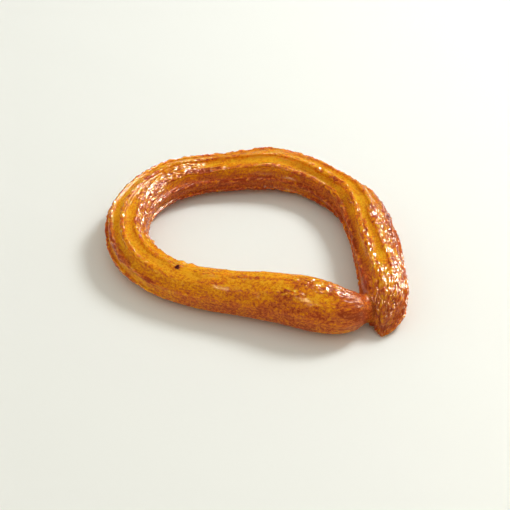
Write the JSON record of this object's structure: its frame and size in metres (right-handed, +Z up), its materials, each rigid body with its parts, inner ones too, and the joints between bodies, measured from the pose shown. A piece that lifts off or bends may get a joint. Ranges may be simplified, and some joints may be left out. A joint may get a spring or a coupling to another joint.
{
  "type": "cruller doughnut",
  "caption": "Fried dough ring piped through a star nozzle, with ridges along it, a swollen front limb and pinched, overlapping ends; rests flat.",
  "frame": {"origin": "on the surface the ring rests on, under the middle of its bounding box", "axes": "+Z up through the ring's hole, +X across the ring's widest side towards the limb with the pinched tip, +Y towards the back limb"},
  "size_m": [0.1398, 0.1322, 0.0237],
  "materials": {
    "fried_dough": "golden brown fried crust under a thin film of clear syrup"
  },
  "bodies": {
    "root": {"cruller": "fried_dough"}
  },
  "joints": []
}
